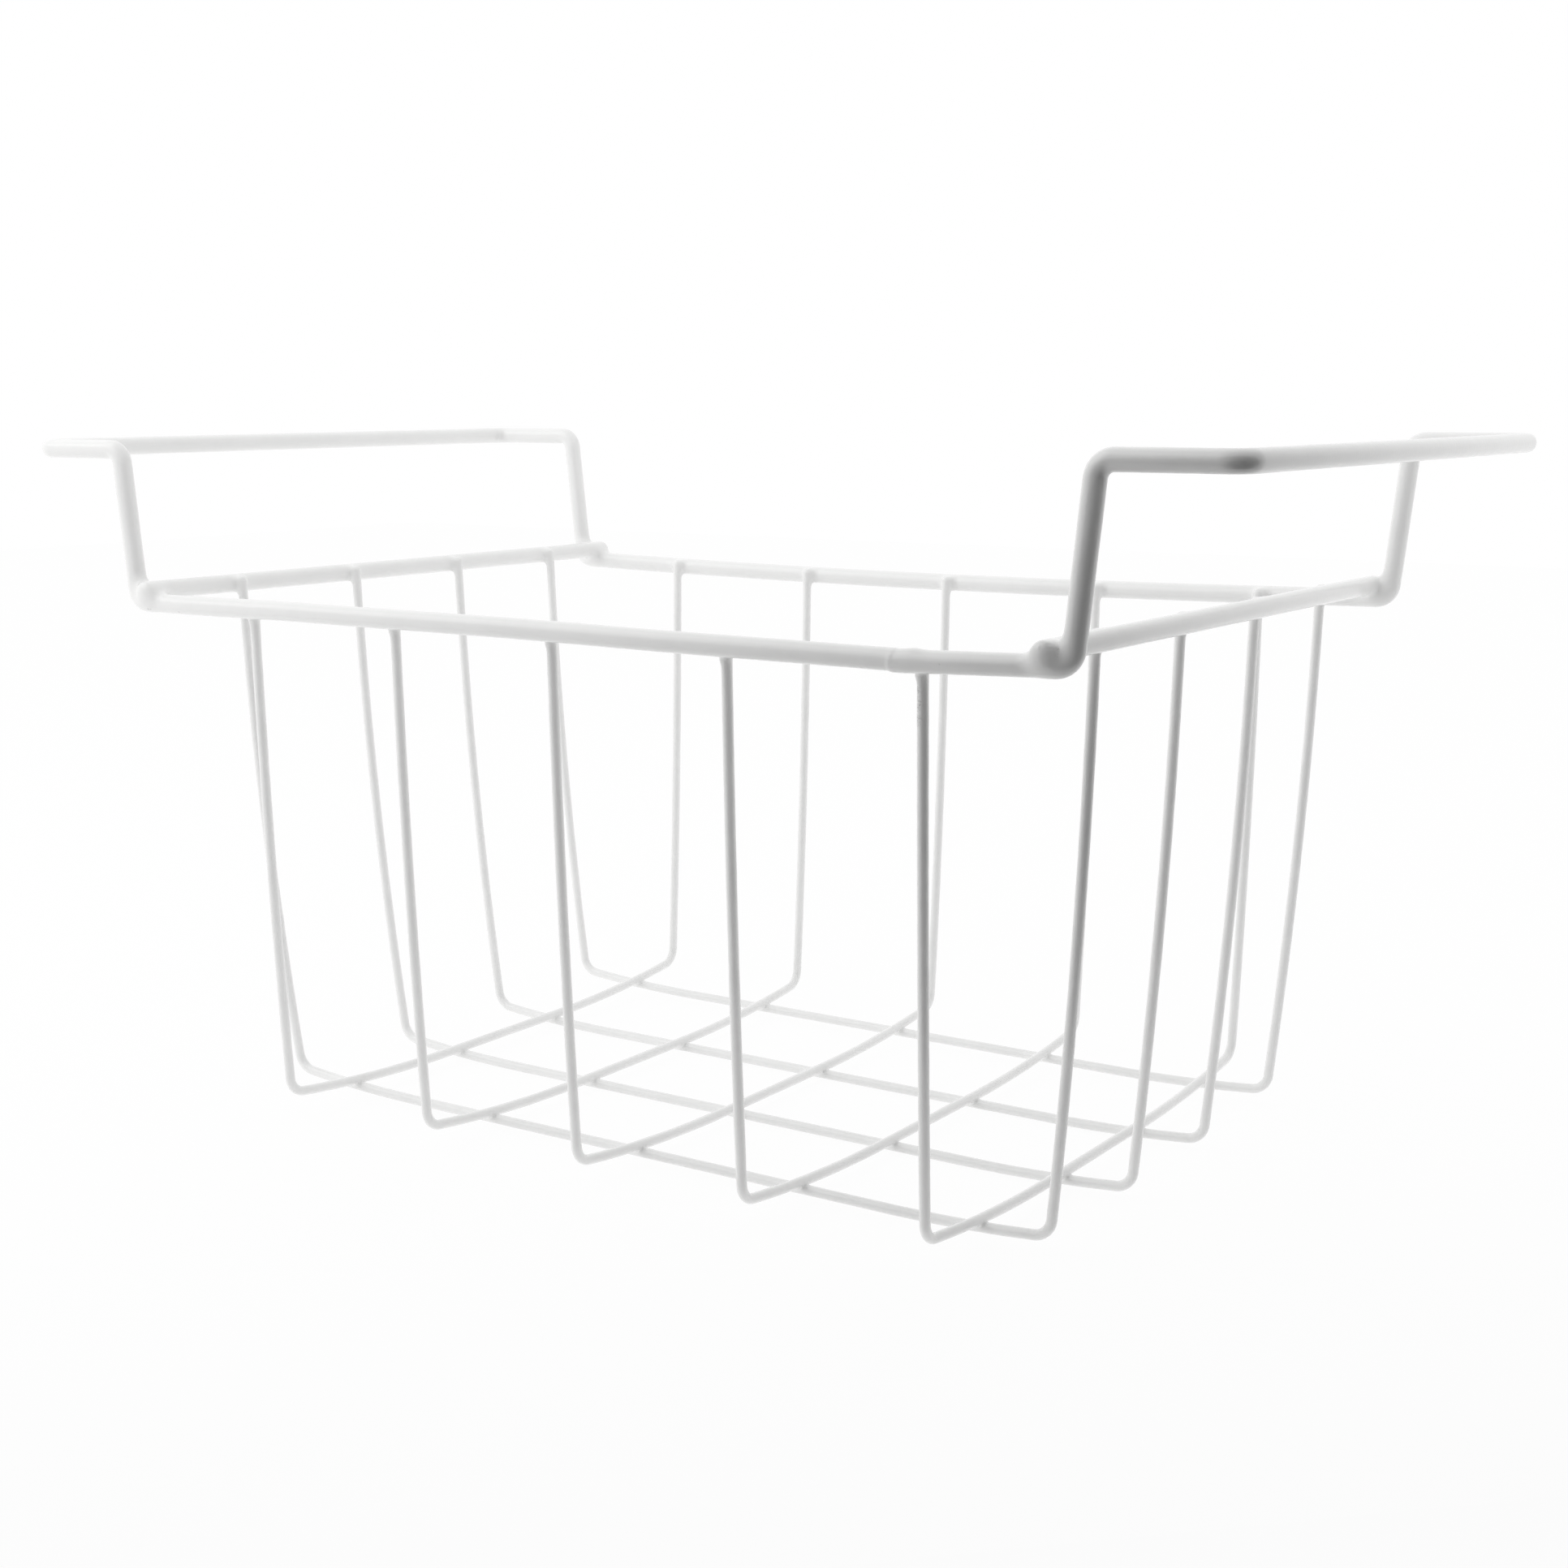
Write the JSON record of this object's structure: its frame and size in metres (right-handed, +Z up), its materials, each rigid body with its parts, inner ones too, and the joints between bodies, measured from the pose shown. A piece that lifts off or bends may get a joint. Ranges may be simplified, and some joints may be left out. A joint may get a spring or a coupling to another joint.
{
  "type": "freezer basket",
  "caption": "Open hanging storage basket for a chest freezer: a coated steel wire rim bent up into a hanger at each end, with a shallow welded wire mesh body.",
  "frame": {"origin": "on the ground under the middle of the basket, at the bottom centre of its box", "axes": "+X along the basket from one hanger to the other, +Y across it, +Z up"},
  "size_m": [0.509, 0.2858, 0.2651],
  "materials": {
    "frame_coating": "white plastic coating on thick steel wire, soft gloss, slightly rippled",
    "mesh_coating": "white plastic coating on thin steel wire, soft gloss, run together at the welds"
  },
  "bodies": {
    "root": {"rim_wire": "frame_coating", "end_rod_left": "frame_coating", "end_rod_right": "frame_coating", "cross_wire_1": "mesh_coating", "cross_wire_2": "mesh_coating", "cross_wire_3": "mesh_coating", "cross_wire_4": "mesh_coating", "cross_wire_5": "mesh_coating", "long_wire_1": "mesh_coating", "long_wire_2": "mesh_coating", "long_wire_3": "mesh_coating", "long_wire_4": "mesh_coating"}
  },
  "joints": []
}
